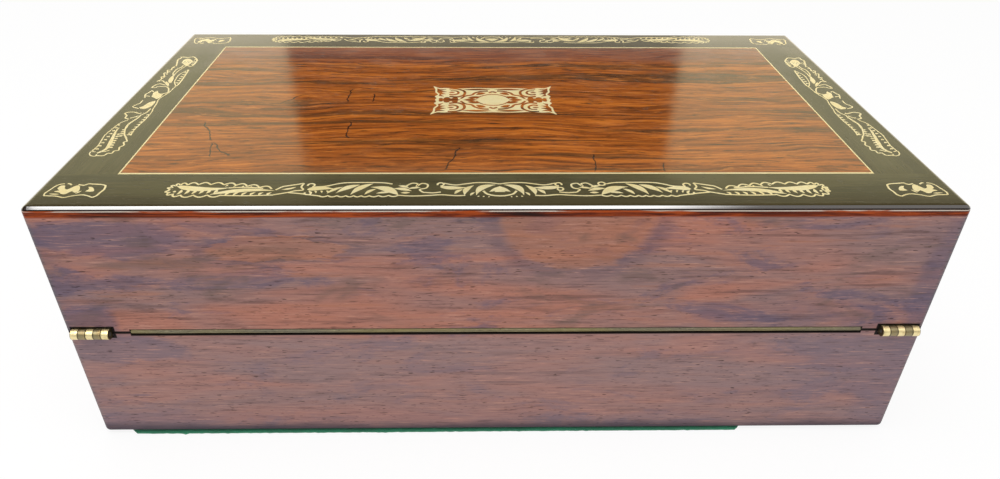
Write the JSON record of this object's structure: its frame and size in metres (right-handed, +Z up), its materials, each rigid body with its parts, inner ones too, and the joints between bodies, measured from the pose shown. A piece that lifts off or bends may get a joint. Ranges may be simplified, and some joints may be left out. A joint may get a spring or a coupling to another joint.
{
  "type": "writing slope",
  "caption": "Brass-inlaid rosewood writing box cut on a slanting seam, opening on butt hinges to a leather writing slope with flaps, pen tray and ink bottles.",
  "frame": {"origin": "middle of the baize underside, on the surface that the box stands on", "axes": "+X along the width, +Y from the hinge side to the lock side, +Z up, box closed"},
  "size_m": [0.4, 0.2317, 0.134],
  "materials": {
    "rosewood": "hazed French polish over rosewood veneer",
    "figured_rosewood": "glossy French polish over streaky rosewood",
    "dark_veneer": "glossy ebonised coromandel veneer",
    "brass": "engraved inlay brass, flush and polished",
    "hinge_brass": "cast brass, worn bright",
    "baize": "green wool baize",
    "writing_leather": "dark olive skiver with a tooled edge",
    "inner_mahogany": "plain oiled mahogany",
    "lock_brass": "brushed lock brass",
    "steel": "bright steel",
    "ink_glass": "clear cut glass"
  },
  "bodies": {
    "base": {"baize_underside": "baize", "base_bottom": "inner_mahogany", "base_hinge_wall": "rosewood", "base_lock_wall": "rosewood", "base_left_wall": "rosewood", "base_right_wall": "rosewood", "base_ledge_left": "inner_mahogany", "base_ledge_right": "inner_mahogany", "tray_divider": "inner_mahogany", "upper_flap_rest": "inner_mahogany", "well_partition_left": "inner_mahogany", "well_partition_right": "inner_mahogany", "well_floor_left": "inner_mahogany", "well_floor_right": "inner_mahogany", "tray_bearer_left": "inner_mahogany", "tray_bearer_right": "inner_mahogany", "pen_tray": "inner_mahogany", "ink_bottle_left": "ink_glass", "ink_bottle_right": "ink_glass", "ink_cap_left": "lock_brass", "ink_cap_right": "lock_brass", "lock_case": "lock_brass", "keyhole_escutcheon": "brass", "base_screws": "lock_brass", "hinge_base_leaf_left": "hinge_brass", "hinge_base_leaf_right": "hinge_brass", "hinge_pin_left": "steel", "hinge_pin_right": "steel", "leather_fold_base": "writing_leather"},
    "lid": {"lid_top_board": "inner_mahogany", "lid_hinge_wall": "rosewood", "lid_lock_wall": "rosewood", "lid_left_wall": "rosewood", "lid_right_wall": "rosewood", "lid_ledge_left": "inner_mahogany", "lid_ledge_right": "inner_mahogany", "lower_flap_rest": "inner_mahogany", "centre_panel": "figured_rosewood", "border_near": "dark_veneer", "border_far": "dark_veneer", "border_left": "dark_veneer", "border_right": "dark_veneer", "brass_stringing": "brass", "inlay_centre": "brass", "inlay_near_band": "brass", "inlay_far_band": "brass", "inlay_left_band": "brass", "inlay_right_band": "brass", "inlay_corners": "brass", "lock_link_plate": "lock_brass", "lid_screws": "lock_brass", "hinge_lid_leaf_left": "hinge_brass", "hinge_lid_leaf_right": "hinge_brass", "leather_fold_lid": "writing_leather"},
    "upper_flap": {"upper_flap_board": "rosewood", "upper_flap_leather": "writing_leather"},
    "lower_flap": {"lower_flap_board": "rosewood", "lower_flap_leather": "writing_leather"},
    "bolt": {"lock_bolt": "steel"}
  },
  "joints": [
    {"name": "lid_hinge", "type": "hinge", "parent": "base", "child": "lid", "pos_m": [0, -0.1152, 0.067], "axis": [1, 0, 0], "range_deg": [0, 180]},
    {"name": "upper_flap_hinge", "type": "hinge", "parent": "base", "child": "upper_flap", "pos_m": [0, -0.10386, 0.06755], "axis": [1, 0, 0], "range_deg": [0, 60]},
    {"name": "lower_flap_hinge", "type": "hinge", "parent": "lid", "child": "lower_flap", "pos_m": [0, -0.10414, 0.06943], "axis": [-1, 0, 0], "range_deg": [0, 60]},
    {"name": "lock_bolt_slide", "type": "slide", "parent": "base", "child": "bolt", "axis": [-1, 0, 0], "range_m": [0, 0.003]}
  ],
  "couplings": [
    {"joint": "upper_flap_hinge", "follows": "lid_hinge", "ratio": 0.3333},
    {"joint": "lower_flap_hinge", "follows": "lid_hinge", "ratio": 0.3333}
  ]
}
